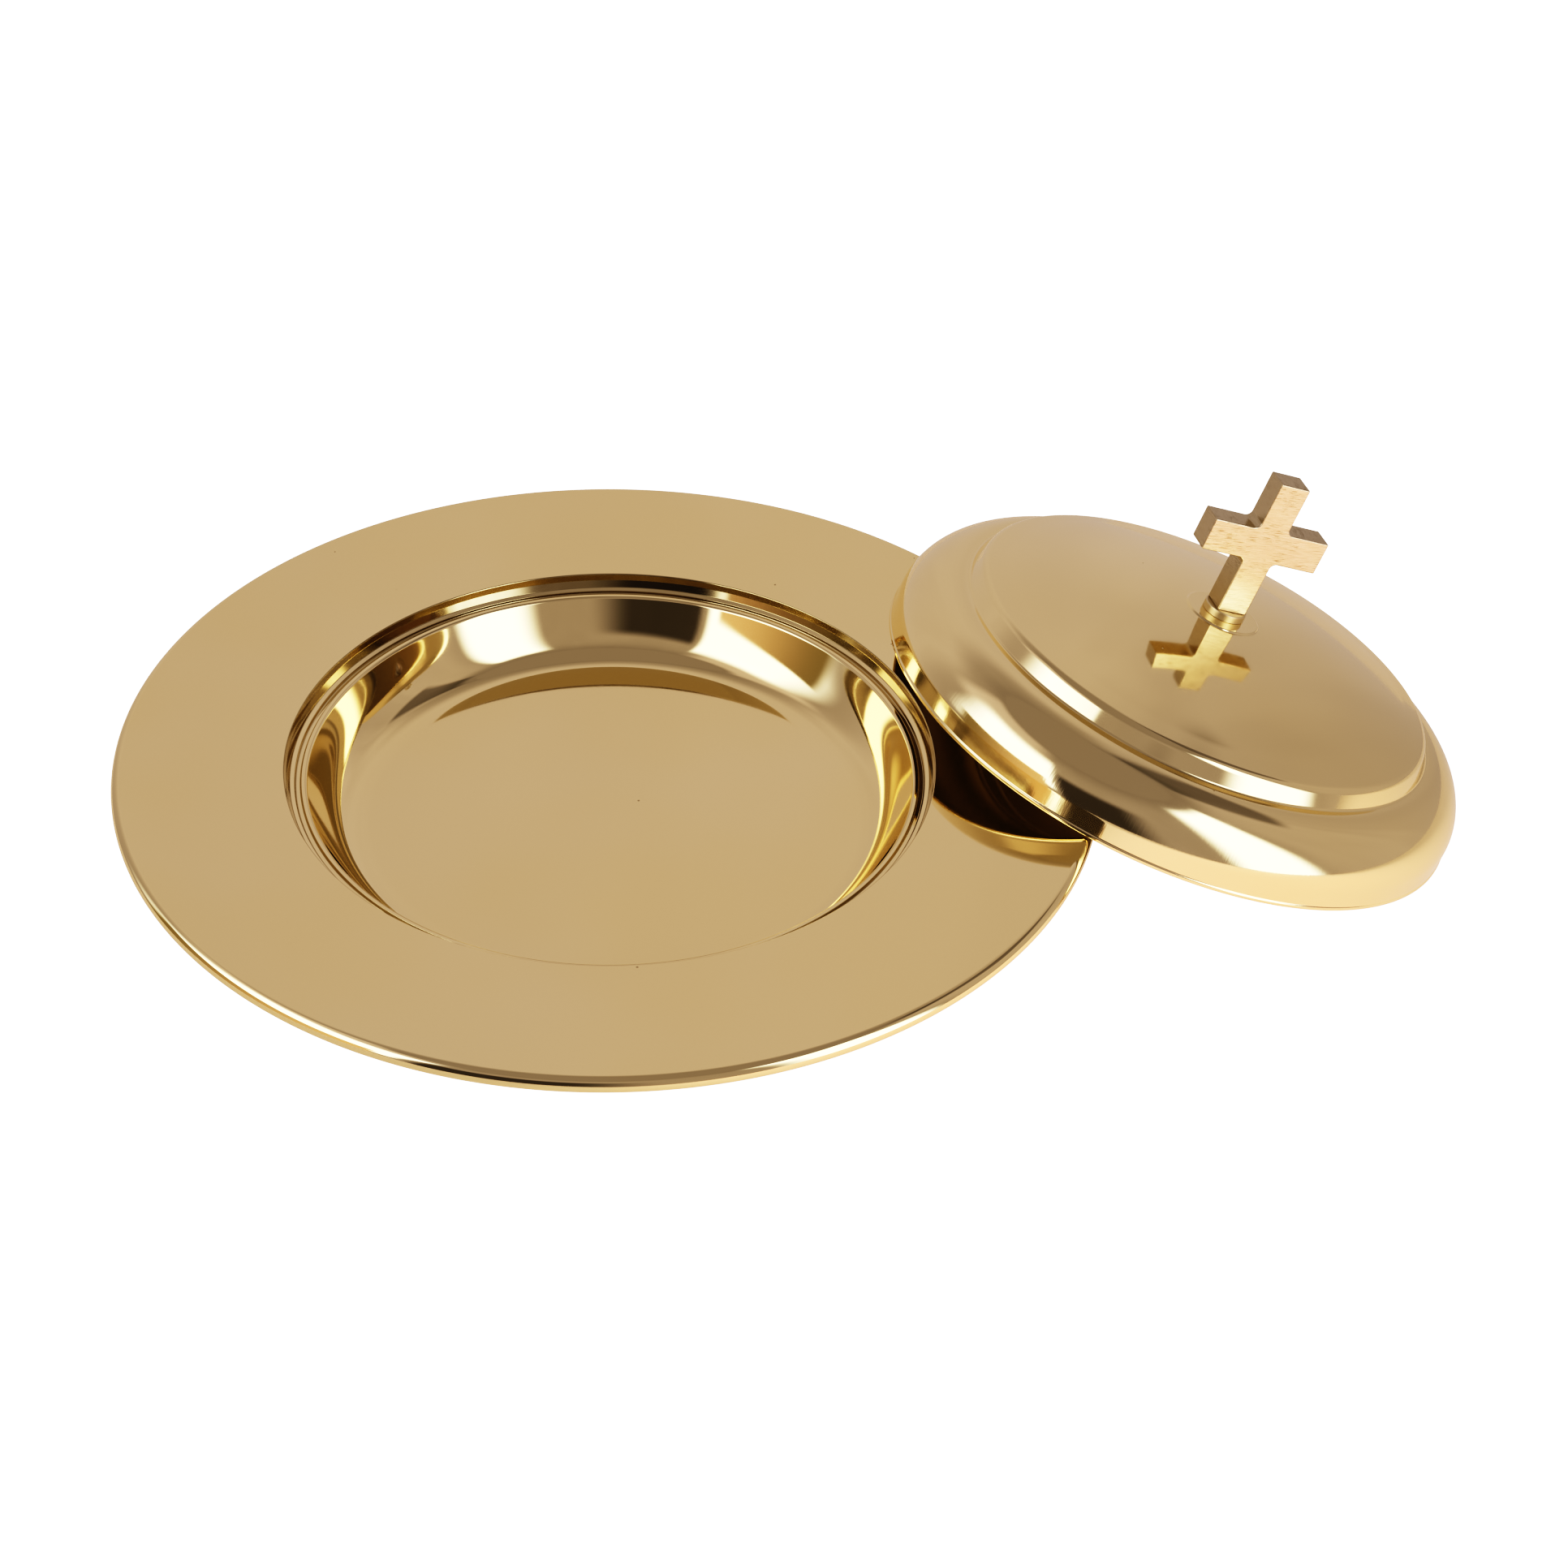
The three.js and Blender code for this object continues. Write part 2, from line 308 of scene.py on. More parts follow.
def spun_metal(name, matrix, rough=0.05, spin=1.0, wave=1.0, tint=GOLD, warm=GOLD_WARM, dull_shaded_from=None, marks=None, dark_rings=()):
    """Polished spun metal: faint turning lines round the axis, soft waviness, dust and a little haze.

    For the inside, a height on the axis is given in metres: faces that look towards it are the inside, made rougher as
    unpolished metal and darkened with painted shade.
    marks is (low, high), the heights between which fine marks run up the side.
    The rings given last (inner radius, outer radius, strength), in mm, are made darker brown and a little rougher."""
    mat, nt, bsdf = nodes_of(name)
    place = local_coords(nt, matrix)
    xyz = nt.nodes.new("ShaderNodeSeparateXYZ")
    nt.links.new(place, xyz.inputs[0])
    radius = math_node(
        nt,
        "SQRT",
        math_node(
            nt,
            "ADD",
            math_node(nt, "MULTIPLY", xyz.outputs["X"], xyz.outputs["X"]),
            math_node(nt, "MULTIPLY", xyz.outputs["Y"], xyz.outputs["Y"]),
        ),
    )
    ring = nt.nodes.new("ShaderNodeCombineXYZ")
    nt.links.new(radius, ring.inputs["X"])
    nt.links.new(xyz.outputs["Z"], ring.inputs["Z"])
    turned = noise(nt, ring.outputs[0], 1400.0, 3.0, 0.6)
    broad = noise(nt, place, 14.0, 2.0, 0.5)
    haze = noise(nt, place, 90.0, 3.0, 0.6)
    dust = nt.nodes.new("ShaderNodeTexVoronoi")
    dust.inputs["Scale"].default_value = 150.0
    nt.links.new(place, dust.inputs["Vector"])
    speck = remap(nt, dust.outputs["Distance"], 0.035, 0.06, 1.0, 0.0)
    pick = nt.nodes.new("ShaderNodeSeparateColor")
    nt.links.new(dust.outputs["Color"], pick.inputs[0])
    speck = math_node(nt, "MULTIPLY", speck, remap(nt, pick.outputs[0], 0.93, 0.95, 0.0, 1.0))
    colour = mix_colour(nt, remap(nt, broad, 0.3, 0.7, 0.0, 1.0), tint, warm)
    colour = mix_colour(nt, math_node(nt, "MULTIPLY", speck, 0.55), colour, (0.30, 0.22, 0.12))
    r = math_node(nt, "MULTIPLY_ADD", remap(nt, haze, 0.35, 0.7, 0.0, 1.0), 0.35 * rough, 0.8 * rough)
    r = math_node(nt, "MULTIPLY_ADD", turned, 0.2 * rough, r)
    r = math_node(nt, "MULTIPLY_ADD", speck, 0.4, r)
    # each ring is made darker brown and a little rougher
    for inner, outer, strength in dark_rings:
        a = remap(nt, radius, (inner - 0.12) * MM, (inner + 0.12) * MM, 0.0, strength)
        b = remap(nt, radius, (outer - 0.12) * MM, (outer + 0.12) * MM, 1.0, 0.0)
        band = math_node(nt, "MULTIPLY", a, b)
        band = math_node(nt, "MULTIPLY", band, remap(nt, haze, 0.3, 0.7, 0.8, 1.0))
        colour = mix_colour(nt, band, colour, (0.30, 0.235, 0.12))
        r = math_node(nt, "MULTIPLY_ADD", band, 0.05, r)
    if dull_shaded_from is not None:
        tex = nt.nodes.new("ShaderNodeTexCoord")
        away = nt.nodes.new("ShaderNodeVectorMath")
        away.operation = "SUBTRACT"
        nt.links.new(tex.outputs["Object"], away.inputs[0])
        away.inputs[1].default_value = matrix @ Vector((0.0, 0.0, dull_shaded_from))
        facing = nt.nodes.new("ShaderNodeVectorMath")
        facing.operation = "DOT_PRODUCT"
        nt.links.new(away.outputs[0], facing.inputs[0])
        nt.links.new(tex.outputs["Normal"], facing.inputs[1])
        # painted shade: inside faces get the dark colour; the extra roughness is their unpolished finish
        inside = remap(nt, facing.outputs["Value"], -0.012, -0.004, 1.0, 0.0)
        colour = mix_colour(nt, inside, colour, INSIDE_SHADE_COLOUR)
        r = math_node(nt, "MULTIPLY_ADD", inside, 0.34, r)
    nt.links.new(colour, bsdf.inputs["Base Color"])
    nt.links.new(r, bsdf.inputs["Roughness"])
    bump = nt.nodes.new("ShaderNodeBump")
    bump.inputs["Strength"].default_value = 1.0
    bump.inputs["Distance"].default_value = 1.0
    soft = noise(nt, place, 26.0, 1.0, 0.4)
    height = math_node(nt, "MULTIPLY", soft, 1.5e-5 * wave)
    height = math_node(nt, "MULTIPLY_ADD", turned, 2.0e-7 * spin, height)
    if marks is not None:
        angle = math_node(nt, "MULTIPLY", math_node(nt, "ARCTAN2", xyz.outputs["Y"], xyz.outputs["X"]), 0.083)
        strip = nt.nodes.new("ShaderNodeCombineXYZ")
        nt.links.new(angle, strip.inputs["X"])
        nt.links.new(math_node(nt, "MULTIPLY", xyz.outputs["Z"], 0.1), strip.inputs["Z"])
        grain = noise(nt, strip.outputs[0], 1500.0, 3.0, 0.6)
        where = remap(nt, xyz.outputs["Z"], marks[0], marks[1], 1.0, 0.0)
        height = math_node(nt, "MULTIPLY_ADD", math_node(nt, "MULTIPLY", grain, where), 1.0e-5, height)
    nt.links.new(height, bump.inputs["Height"])
    nt.links.new(bump.outputs[0], bsdf.inputs["Normal"])
    return mat


def brushed_metal(name, matrix):
    """Cross: satin metal with fine marks of the file and belt running across the post, and painted shade on its sides
    and tops.
    """
    mat, nt, bsdf = nodes_of(name)
    place = local_coords(nt, matrix)
    slant = nt.nodes.new("ShaderNodeMapping")
    slant.inputs["Rotation"].default_value = (0.0, math.radians(7.0), 0.0)
    nt.links.new(place, slant.inputs["Vector"])
    stretch = nt.nodes.new("ShaderNodeMapping")
    stretch.inputs["Scale"].default_value = (0.03, 0.03, 1.0)
    nt.links.new(slant.outputs[0], stretch.inputs["Vector"])
    lines = noise(nt, stretch.outputs[0], 7000.0, 3.0, 0.65)
    short = nt.nodes.new("ShaderNodeMapping")
    short.inputs["Scale"].default_value = (0.055, 0.055, 1.0)
    nt.links.new(slant.outputs[0], short.inputs["Vector"])
    dashes = noise(nt, short.outputs[0], 5600.0, 2.0, 0.5)
    patches = noise(nt, place, 130.0, 2.0, 0.5)
    cloud = noise(nt, place, 160.0, 2.0, 0.5)
    cut = math_node(nt, "MULTIPLY", remap(nt, dashes, 0.57, 0.63, 0.0, 1.0), remap(nt, patches, 0.40, 0.60, 0.2, 1.0))
    colour = mix_colour(nt, remap(nt, lines, 0.35, 0.65, 0.0, 1.0), (0.72, 0.61, 0.42), (0.93, 0.82, 0.61))
    colour = mix_colour(nt, remap(nt, cloud, 0.35, 0.75, 0.0, 0.5), colour, (0.85, 0.73, 0.50))
    colour = mix_colour(nt, math_node(nt, "MULTIPLY", cut, 0.85), colour, (0.34, 0.26, 0.13))
    # painted shade: faces that don't look to the front or back, the sides and tops of the cross, are mixed towards a
    # darker brown
    tex = nt.nodes.new("ShaderNodeTexCoord")
    facing = nt.nodes.new("ShaderNodeVectorMath")
    facing.operation = "DOT_PRODUCT"
    nt.links.new(tex.outputs["Normal"], facing.inputs[0])
    facing.inputs[1].default_value = (matrix.to_3x3() @ Vector((0.0, 1.0, 0.0))).normalized()
    painted_side_shade = remap(nt, math_node(nt, "ABSOLUTE", facing.outputs["Value"]), 0.35, 0.8, 0.72, 0.0)
    colour = mix_colour(nt, painted_side_shade, colour, (0.48, 0.41, 0.26))
    nt.links.new(colour, bsdf.inputs["Base Color"])
    r = math_node(nt, "MULTIPLY_ADD", lines, 0.10, 0.16)
    r = math_node(nt, "MULTIPLY_ADD", cloud, 0.06, r)
    nt.links.new(r, bsdf.inputs["Roughness"])
    bump = nt.nodes.new("ShaderNodeBump")
    bump.inputs["Strength"].default_value = 1.0
    bump.inputs["Distance"].default_value = 1.0
    height = math_node(nt, "MULTIPLY", lines, 8.0e-6)
    height = math_node(nt, "MULTIPLY_ADD", cut, -8.0e-6, height)
    nt.links.new(height, bump.inputs["Height"])
    nt.links.new(bump.outputs[0], bsdf.inputs["Normal"])
    return mat


def steel_metal(name):
    mat, nt, bsdf = nodes_of(name)
    tex = nt.nodes.new("ShaderNodeTexCoord")
    cloud = noise(nt, tex.outputs["Object"], 400.0, 3.0, 0.6)
    fine = noise(nt, tex.outputs["Object"], 2500.0, 2.0, 0.5)
    colour = mix_colour(nt, remap(nt, cloud, 0.3, 0.7, 0.0, 1.0), STEEL, (0.50, 0.49, 0.48))
    nt.links.new(colour, bsdf.inputs["Base Color"])
    nt.links.new(math_node(nt, "MULTIPLY_ADD", cloud, 0.2, 0.22), bsdf.inputs["Roughness"])
    bump = nt.nodes.new("ShaderNodeBump")
    bump.inputs["Strength"].default_value = 1.0
    bump.inputs["Distance"].default_value = 1.0
    nt.links.new(math_node(nt, "MULTIPLY", fine, 6.0e-6), bump.inputs["Height"])
    nt.links.new(bump.outputs[0], bsdf.inputs["Normal"])
    return mat


# ------------------------------------------------------------------------ plate
# rings on the ledge and its grooves, made darker brown and a little rougher
DARK_RINGS = ((83.05, 84.5, 0.78), (81.55, 82.1, 0.6), (80.25, 80.6, 0.5), (79.15, 79.4, 0.35))
PLATE_AT = Matrix.Translation((PLATE_AXIS[0] * MM, PLATE_AXIS[1] * MM, 0.0))

bead_r = RIM_R - BEAD_R
rim_lean = math.atan2(BEAD_Z + BEAD_R - RIM_IN[1], bead_r - RIM_IN[0])
top_angle = 90 + math.degrees(rim_lean)
top_at = (bead_r + BEAD_R * math.cos(math.radians(top_angle)), BEAD_Z + BEAD_R * math.sin(math.radians(top_angle)))

# the well's wall: steep under the ledge, then one soft sweep down to the flat
lean = (math.sin(math.radians(WELL_LEAN)), math.cos(math.radians(WELL_LEAN)))
wall_top = (LEDGE_IN[0] - lean[0], LEDGE_IN[1] - lean[1])
wall_run = (wall_top[1] - WELL_FLOOR_Z) / lean[1]
corner_r = wall_top[0] - wall_run * lean[0]
well_curve = bezier(
    (WELL_FLAT_R, WELL_FLOOR_Z),
    (WELL_FLAT_R + WELL_PULL[0] * (corner_r - WELL_FLAT_R), WELL_FLOOR_Z),
    (wall_top[0] - WELL_PULL[1] * wall_run * lean[0], wall_top[1] - WELL_PULL[1] * wall_run * lean[1]),
    wall_top,
    56,
)
ledge_path = rounded(
    [
        (*wall_top, 0),
        (*LEDGE_IN, LEDGE_ROLL),
        (*LEDGE_OUT, 0.14),
        (80.52, GROOVE_Z, 0.4),
        (81.78, GROOVE_Z, 0.4),
        (82.02, 34.18, 0.16),
        (83.15, 34.62, 0.35),
        (83.96, 36.6, 1.2),
        (84.34, 38.46, 0.4),
        (*top_at, 0),
    ],
    4.0,
)
plate_top = chain([(0.0, WELL_FLOOR_Z, 1.0, 0.0)], well_curve, ledge_path)
bead_outer = arc(bead_r, BEAD_Z, BEAD_R, top_angle, -180, 4.0)
bead_inner = arc(bead_r, BEAD_Z, BEAD_R - SHEET, -180, top_angle, 6.0)
lip = arc(bead_r - BEAD_R + SHEET / 2, BEAD_Z, SHEET / 2, 180, 0, 20.0)
well_under = [q for q in beside(well_curve, -SHEET) if q[1] < 31.4]
under_r = well_under[-1][0] + (32.6 - well_under[-1][1]) * lean[0] / lean[1]
seat_under = rounded(
    [
        (bead_inner[-1][0], bead_inner[-1][1], 0),
        (85.2, 37.55, 1.0),
        (84.75, 35.8, 1.5),
        (83.95, 33.62, 1.0),
        (82.5, 32.6, 0.8),
        (under_r, 32.6, 0.5),
        (well_under[-1][0], well_under[-1][1], 0),
    ],
    5.0,
)
plate_under = chain(seat_under, backwards(well_under), [(0.0, WELL_FLOOR_Z - SHEET, -1.0, 0.0)])
plate_path = chain(plate_top, bead_outer, lip, bead_inner, plate_under)

brass_plate = spun_metal("plate_gold_polished", PLATE_AT, rough=0.045, dark_rings=DARK_RINGS)
plate = put("plate_spun_shell", *lathe(plate_path), PLATE_AT, "plate", "plate_gold", brass_plate, ("plate_shell",))

# base ring with a rounded foot and small solder fillets under the seat
bi, bo = BASE_R - BASE_WALL, BASE_R
base_path = rounded(
    [
        (bo, 16.0, 0),
        (bo, BASE_TOP - 0.1, 0.7),
        (bo + 1.1, BASE_TOP, 0.1),
        (bo + 1.1, BASE_TOP + 0.25, 0.1),
        (bi - 1.1, BASE_TOP + 0.25, 0.1),
        (bi - 1.1, BASE_TOP, 0.1),
        (bi, BASE_TOP - 0.1, 0.7),
        (bi, 0.0, 0.48),
        (bo, 0.0, 0.48),
        (bo, 16.0, 0),
    ],
    8.0,
)
brass_base = spun_metal("base_gold_polished", PLATE_AT, rough=0.07, spin=1.6)
base_ring = put("base_ring_skirt", *lathe(base_path, 256), PLATE_AT, "plate", "base_gold", brass_base, ("stacking_base_ring",))

# ------------------------------------------------------------------------ cover
n = Vector((COVER_N[0], COVER_N[1], math.sqrt(1 - COVER_N[0] ** 2 - COVER_N[1] ** 2)))
e1 = Vector((0, 1, 0)).cross(n).normalized()
e2 = n.cross(e1)
COVER_AT = Matrix(
    (
        (e1.x, e2.x, n.x, (COVER_C[0] + PLATE_AXIS[0]) * MM),
        (e1.y, e2.y, n.y, (COVER_C[1] + PLATE_AXIS[1]) * MM),
        (e1.z, e2.z, n.z, COVER_C[2] * MM),
        (0, 0, 0, 1),
    )
)
SEAT_AT = COVER_AT @ Matrix.Translation((0, 0, APEX_H * MM)) @ Matrix.Rotation(math.radians(CROSS_TURN), 4, "Z")

dome_c = APEX_H - SEAT_LIFT - DOME_R


def dome_z(r):
    return dome_c + math.sqrt(DOME_R * DOME_R - r * r)


def dome_arc(r0, r1, step=0.5):
    a0 = math.degrees(math.acos(r0 / DOME_R))
    a1 = math.degrees(math.acos(r1 / DOME_R))
    return arc(0.0, dome_c, DOME_R, a0, a1, step)


shoulder = bezier((82.84, 5.9), (82.55, 13.0), (75.6, 19.95), (68.6, 20.2))
step_wall = rounded(
    [
        (68.6, 20.2, 0),
        (67.45, 20.27, 0.9),
        (65.15, 25.2, 2.9),
        (60.2, dome_z(60.2), 0),
    ],
    4.0,
)
seat_edge = rounded(
    [
        (14.0, dome_z(14.0), 0),
        (10.55, dome_z(10.55) + 0.02, 0.5),
        (10.1, APEX_H, 0.4),
        (4.0, APEX_H, 0),
    ],
    5.0,
)
cover_outer = chain(shoulder, step_wall, dome_arc(60.2, 14.0), seat_edge)
cover_inner = backwards(beside(cover_outer, COVER_SHEET))
hem = rounded(
    [
        (cover_inner[-1][0], cover_inner[-1][1], 0),
        (82.12, 0.12, 0.3),
        (83.22, 0.0, 0.5),
        (83.24, 1.05, 0.45),
        (82.98, 1.45, 0.6),
        (82.84, 5.9, 0),
    ],
    8.0,
)
bore = rounded(
    [
        (4.0, APEX_H, 0),
        (2.5, APEX_H, 0.2),
        (2.5, APEX_H - COVER_SHEET, 0.2),
        (4.0, APEX_H - COVER_SHEET, 0),
    ],
    20.0,
)
cover_path = chain(cover_outer, bore, cover_inner, hem)

# the inside faces of the cover are rougher and darkened with painted shade
brass_cover = spun_metal("cover_gold_polished", COVER_AT, rough=0.075, wave=1.3, dull_shaded_from=-0.03, marks=(0.007, 0.016))
cover = put("cover_spun_shell", *lathe(cover_path), COVER_AT, "cover", "cover_gold", brass_cover, ("cover_shell",))

# ----------------------------------------------------------------------- finial
collar_path = rounded(
    [
        (2.4, 1.0, 0),
        (2.4, 0.02, 0.1),
        (COLLAR_R, 0.02, 0.12),
        (COLLAR_R, CROSS_FOOT, 0.35),
        (2.4, CROSS_FOOT, 0.1),
        (2.4, 1.0, 0),
    ],
    12.0,
)
brass_collar = spun_metal("collar_gold_polished", SEAT_AT, rough=0.36, spin=3.0, tint=(0.76, 0.65, 0.43), warm=(0.72, 0.61, 0.39))
collar = put("finial_collar_turned", *lathe(collar_path, 128), SEAT_AT, "cover", "collar_gold", brass_collar, ("finial_collar",))


def cross_outline():
    f = CROSS_FILLET
    b, s, lo, hi, top, foot = POST_HALF, ARM_HALF, ARM_LOW, ARM_HIGH, CROSS_H, CROSS_FOOT
    right = [
        (b, foot, 0.0),
        (b, lo, f),
        (s, lo, 0.0),
        (s, hi, 0.0),
        (b, hi, f),
        (b, top, 0.0),
    ]
    pts = []
    for i, (x, z, rad) in enumerate(right):
        if rad == 0:
            pts.append((x, z))
            continue
        a, c = right[i - 1], right[i + 1]
        u, v = unit(x - a[0], z - a[1]), unit(c[0] - x, c[1] - z)
        turn = math.atan2(u[0] * v[1] - u[1] * v[0], u[0] * v[0] + u[1] * v[1])
        start = (x - u[0] * rad, z - u[1] * rad)
        side = 1 if turn > 0 else -1
        cen = (start[0] - side * u[1] * rad, start[1] + side * u[0] * rad)
        a0 = math.degrees(math.atan2(start[1] - cen[1], start[0] - cen[0]))
        pts += [(q[0], q[1]) for q in arc(*cen, rad, a0, a0 + math.degrees(turn), 9.0)]
    return pts + [(-x, z) for x, z in reversed(pts)]


def cross_mesh(name):
    bm = bmesh.new()
    outline = cross_outline()
    front = [bm.verts.new((x * MM, -CROSS_T / 2 * MM, z * MM)) for x, z in outline]
    back = [bm.verts.new((x * MM, CROSS_T / 2 * MM, z * MM)) for x, z in outline]
    bm.faces.new(front)
    bm.faces.new(back[::-1])
    for i in range(len(outline)):
        j = (i + 1) % len(outline)
        bm.faces.new((front[j], front[i], back[i], back[j]))
    bm.normal_update()
    sharp = [e for e in bm.edges if len(e.link_faces) == 2 and e.calc_face_angle() > math.radians(30)]
    bmesh.ops.bevel(bm, geom=sharp, offset=0.34 * MM, segments=3, profile=0.55, affect="EDGES", clamp_overlap=True)
    bm.normal_update()
    mesh = bpy.data.meshes.new(name)
    bm.to_mesh(mesh)
    bm.free()
    mesh.shade_smooth()
    mesh.set_sharp_from_angle(angle=math.radians(40))
    return mesh


brass_cross = brushed_metal("cross_brushed_gold", SEAT_AT)
cross_obj = bpy.data.objects.new("cross_finial_brushed", cross_mesh("cross_finial_brushed"))
bpy.context.scene.collection.objects.link(cross_obj)
cross_obj.data.transform(SEAT_AT)
cross_obj.data.materials.append(brass_cross)
weighted = cross_obj.modifiers.new("weighted", "WEIGHTED_NORMAL")
weighted.keep_sharp = True
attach(cross_obj, "cover")
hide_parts("cross_finial")

# ----------------------------------------------------------------------- fixing
steel = steel_metal("fixing_steel_satin")
w_top = -COVER_SHEET - 0.02
washer_path = rounded(
    [
        (2.35, w_top - 0.4, 0),
        (2.35, w_top - 0.8, 0.12),
        (6.0, w_top - 0.8, 0.2),
        (6.0, w_top, 0.2),
        (2.35, w_top, 0.12),
        (2.35, w_top - 0.4, 0),
    ],
    15.0,
)
washer = put("washer_steel", *lathe(washer_path, 96), SEAT_AT, "cover", "fixing_steel", steel, ("flat_washer",))

h_top = w_top - 0.82
screw_path = chain(
    rounded(
        [
            (0.0, h_top - 2.6, 0),
            (2.7, h_top - 2.6, 1.6),
            (3.8, h_top - 1.4, 0.8),
            (3.8, h_top, 0.15),
            (2.0, h_top, 0.15),
            (2.0, 9.8, 0.2),
            (1.6, 10.2, 0.1),
            (0.0, 10.2, 0),
        ],
        8.0,
    )
)
sv, sf, sn = lathe(screw_path, 72)
screw = put("screw_slotted", sv, sf, None, SEAT_AT, "cover", "fixing_steel", steel, ("fixing_screw",))
slot_mesh = bpy.data.meshes.new("slot_cut")
bm = bmesh.new()
bmesh.ops.create_cube(bm, size=1.0)
for v in bm.verts:
    v.co = Vector((v.co.x * 12 * MM, v.co.y * 1.1 * MM, v.co.z * 2.4 * MM + (h_top - 2.6) * MM))
bm.to_mesh(slot_mesh)
bm.free()
cutter = bpy.data.objects.new("slot_cut", slot_mesh)
bpy.context.scene.collection.objects.link(cutter)
cutter.matrix_world = SEAT_AT
cut = screw.modifiers.new("slot", "BOOLEAN")
cut.operation = "DIFFERENCE"
cut.solver = "EXACT"
cut.object = cutter
bpy.context.view_layer.update()
dg = bpy.context.evaluated_depsgraph_get()
done = bpy.data.meshes.new_from_object(screw.evaluated_get(dg), depsgraph=dg)
screw.modifiers.clear()
screw.data = done
done.shade_smooth()
done.set_sharp_from_angle(angle=math.radians(35))
bpy.data.objects.remove(cutter, do_unlink=True)

# ----------------------------------------------------------------------- studio
# A pale tent: a round wall of cloth, bright where the two lamps stand behind
# it, dark at its open front, with a plain ceiling and a white table top.
TENT_C = (0.02, -0.12)
TENT_R = 0.50
TENT_TOP = 1.10
CEILING = 0.15
CLOTH = (1.0, 0.855, 0.845)
WALL = 0.19
WALL_TOP = 0.14
# (azimuth from the back, half width, edge left, edge right, low, high, edge low, edge high, strength)
GLOWS = [
    (-11.0, 42.0, 30.0, 30.0, -0.2, 0.52, 0.1, 0.3, 0.09),
    (70.0, 30.0, 34.0, 20.0, -0.2, 0.8, 0.1, 0.3, 0.05),
    (-90.0, 32.0, 24.0, 16.0, 0.42, 1.00, 0.2, 0.2, 0.15),
]
LAMPS = [
    (122.5, 16.5, 9.0, 16.0, -0.10, 0.80, 0.04, 0.20, 1.35),
    (-105.0, 26.0, 4.0, 26.0, 0.08, 0.60, 0.08, 0.28, 1.22),
]
DARK = (-157.0, 22.0, 24.0, 4.0, -0.2, 0.43, 0.1, 0.14)
SHADE = (56.0, 16.0, 10.0, 8.0, 0.38, 0.95, 0.06, 0.2)
CARD = (-102.0, 25.0, 3.0, 6.0, -0.2, 0.20, 0.1, 0.03)
CARD_NEAR = (0.42, 0.29, 0.20)
CARD_FAR = (0.13, 0.10, 0.06)


def only_seen_by(obj, camera=False, glossy=False, diffuse=False, shadow=False):
    obj.visible_camera = camera
    obj.visible_glossy = glossy
    obj.visible_diffuse = diffuse
    obj.visible_transmission = glossy
    obj.visible_volume_scatter = False
    obj.visible_shadow = shadow


def soft_window(nt, value, low, high, edge_low, edge_high):
    a = remap(nt, value, low - edge_low / 2, low + edge_low / 2, 0.0, 1.0)
    b = remap(nt, value, high - edge_high / 2, high + edge_high / 2, 1.0, 0.0)
    return math_node(nt, "MULTIPLY", a, b)


